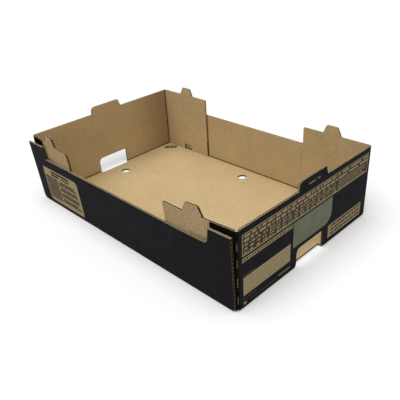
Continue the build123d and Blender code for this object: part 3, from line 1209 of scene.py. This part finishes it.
class Tray:
    """The tray while it is put together: each panel's two liners are a piece, and all the fluting is one."""

    def __init__(self):
        self.medium = bmesh.new()
        self.cut_liner = cut_board("cut_liner", *CUT_LINER)
        # Fluting finishes: plain with painted shade at the foot, dim and shaded copies with painted shade,
        # and crushed board
        self.fluting_papers = [
            cut_board("fluting_paper", *FLUTING, FOOT_SHADE_FLUTING),
            cut_board("dim_fluting_paper", *DIM_FLUTING),
            cut_board("crushed_board", *CRUSHED_BOARD),
            cut_board("shaded_fluting_paper", *SHADED_FLUTING),
        ]

    def add_panel(
        self, name, outline, point, waves_axis, outside, inside,
        columns=(), rows=(), fold=None, drill=None, nick=None, finish=PLAIN,
    ):
        """Adds a panel. A drill goes right through it, and a nick through its outer liner alone."""
        layers = fold_layer(liner(outline, OUTSIDE, drill or nick), point, columns, rows)
        add_mesh(layers, fold_layer(liner(outline, INSIDE, drill), point, columns, rows))
        add_piece(name, layers, [outside, self.cut_liner, self.fluting_papers[finish], inside])
        waves = fluting(outline, waves_axis, finish, fold, drill)
        add_mesh(self.medium, fold_layer(waves, point, columns, rows))

    def add_fluting(self):
        """Adds the fluting of all the panels."""
        add_piece("fluted_medium", self.medium, self.fluting_papers)


def build_base(tray):
    """Base with its vents, end cuts and slits."""
    creases = [(X, -END_CREASE), (X, END_CREASE), (Y, -SIDE_CREASE), (Y, SIDE_CREASE)]
    # Wider painted shade on the base along its left and back creases, towards the back left corner
    far_creases = [(X, -END_CREASE), (Y, SIDE_CREASE)]
    tray.add_panel(
        "base_panel", base_outline(), base_point, UP,
        printed_outside("underside_print", X, Y, Y, creases, underside_print),
        kraft_inside("base_kraft", Y, creases, base_mark, far_creases, BASE_WIDE_SHADE),
        drill=vent_posts, finish=DIM,
    )


def build_long_walls(tray):
    """Long walls: the leaning front one, and the upright back one."""
    foot = [(Z, BOARD)]
    ends = [(Z, 0), (X, -END_CREASE), (X, END_CREASE)]
    # Painted shadow on the long walls beside the flaps' free edges, drawn as crease shade
    beside_flaps = [(X, -FLAP_FREE_EDGE), (X, FLAP_FREE_EDGE)]
    inside = kraft_inside("long_wall_kraft", Z, foot + beside_flaps)
    tray.add_panel(
        "front_wall", side_outline(), front_wall_point, UP,
        printed_outside("front_print", X, Z, Z, ends, front_print), inside,
        columns=[LEAN_EASES_FROM] + steps(LEAN_EASES_FROM, END_CREASE, TWIST_STEPS),
        rows=fold_rows() + steps(0, RAISED_HEIGHT, TWIST_STEPS), fold=FOOT_FOLD, finish=DIM,
    )
    tray.add_panel(
        "back_wall", side_outline(), back_wall_point, UP,
        printed_outside("back_print", X, Z, Z, ends, no_print), inside,
        rows=fold_rows(), fold=FOOT_FOLD,
    )


def build_end_walls(tray):
    """End walls, each with a stacking tab and a slot."""
    creases = [(Z, BOARD), (Y, -FRONT_FLAP_CREASE), (Y, BACK_FLAP_CREASE)]
    folds = [(Z, 0), (Y, -FRONT_FLAP_CREASE - BOARD), (Y, BACK_FLAP_CREASE + BOARD)]
    # Wider painted shade on the end walls towards the back corner
    inside = kraft_inside(
        "end_wall_kraft", Y, creases, dull=[(Y, BACK_FLAP_CREASE)], wide_shade=WALL_WIDE_SHADE,
    )
    right = printed_outside("right_end_print", Y, Z, Y, folds, right_end_print, right_end_tint)
    left = printed_outside("left_end_print", Y, Z, Y, folds, no_print)
    for name, point, outside in (
        ("right_end_wall", end_wall_point, right),
        ("left_end_wall", on_the_left(end_wall_point), left),
    ):
        tray.add_panel(
            name, end_outline(), point, ALONG, outside, inside, rows=fold_rows(), fold=FOOT_FOLD,
        )


def build_flaps(tray):
    """Corner flaps, each glued to a long wall. The front ones twist on their way to the leaning wall."""
    twist_columns = [FLAP_GLUE_FROM] + steps(FLAP_GLUE_FROM, END_CREASE, TWIST_STEPS) + fold_columns()
    twist_rows = steps(0, END_HEIGHT, TWIST_STEPS)
    corners = [(X, -HALF_LENGTH), (X, HALF_LENGTH)]
    inside = kraft_inside("flap_kraft", X, [(X, -END_CREASE), (X, END_CREASE)])
    # The flaps' print uses the darker ink of painted shade
    outside, front_left_outside = [
        printed_outside(
            name, X, Z, X, corners, flap_print(bleed), tone=KRAFT_FLAPS, black=SHADED_FLAP_INK, gloss=FLAP_GLOSS,
        )
        for name, bleed in (
            ("flap_print", FLAP_PRINT_FROM), ("front_left_flap_print", FRONT_LEFT_FLAP_PRINT_FROM),
        )
    ]
    front_left_outline = flap_outline(FRONT_LEFT_FREE_SLANT, FRONT_LEFT_FREE_CORNER)
    for name, outline, point, paper in (
        ("front_right_flap", flap_outline(), front_flap_point, outside),
        ("front_left_flap", front_left_outline, on_the_left(front_flap_point), front_left_outside),
    ):
        tray.add_panel(
            name, outline, point, ALONG, paper, inside,
            columns=twist_columns, rows=twist_rows, fold=CORNER_FOLD, nick=perforation_blocks, finish=SHADED,
        )
    for name, point in (
        ("back_right_flap", back_flap_point), ("back_left_flap", on_the_left(back_flap_point)),
    ):
        tray.add_panel(
            name, flap_outline(), point, ALONG, outside, inside,
            columns=fold_columns(), fold=CORNER_FOLD, nick=perforation_blocks,
        )


# Studio

def make_floor():
    """Plain pale floor."""
    bm = bmesh.new()
    bmesh.ops.create_grid(bm, x_segments=1, y_segments=1, size=FLOOR_HALF_SIZE)
    material, tree, place, _ = new_material("floor_paint")
    clouds = noise(tree, place, *FLOOR_CLOUDS)
    roughness = ramp(tree, clouds, 0, 1, *FLOOR_ROUGHNESS)
    dress(tree, blend(tree, clouds, *FLOOR_TONES), roughness, clouds, FLOOR_BUMP)
    floor = mesh_object("floor", bm, [material])


def make_lights():
    """One broad soft light from overhead and a little to the front, and surroundings that look white."""
    light = bpy.data.lights.new("overhead_light", "SUN")
    light.energy = OVERHEAD_STRENGTH
    light.angle = OVERHEAD_SPREAD
    overhead = new_object("overhead_light", light)
    overhead.rotation_euler = Vector(OVERHEAD_DIRECTION).to_track_quat("Z", "Y").to_euler()
    world = bpy.data.worlds.new("studio")
    world.use_nodes = True
    background = world.node_tree.nodes["Background"]
    background.inputs["Color"].default_value = SURROUNDINGS_TONE
    seen = world.node_tree.nodes.new("ShaderNodeLightPath").outputs["Is Camera Ray"]
    strength = ramp(world.node_tree, seen, 0, 1, SURROUNDINGS_STRENGTH, 1)
    world.node_tree.links.new(strength, background.inputs["Strength"])
    bpy.context.scene.world = world
    bpy.context.scene.view_settings.view_transform = "Standard"


def make_camera():
    """Camera where the photograph was taken from: above the near right corner."""
    lens = bpy.data.cameras.new("camera")
    lens.lens = CAMERA_FOCAL_LENGTH
    lens.sensor_width = CAMERA_SENSOR
    camera = new_object("camera", lens)
    camera.location = CAMERA_PLACE
    camera.rotation_euler = [radians(angle) for angle in CAMERA_TURN]
    bpy.context.scene.camera = camera


make_kraft_paper()
make_ink()
make_printed_field()
make_printed_bars()
make_rubs()
make_crease_shade()

tray = Tray()
build_base(tray)
build_long_walls(tray)
build_end_walls(tray)
build_flaps(tray)
tray.add_fluting()

make_floor()
make_lights()
make_camera()
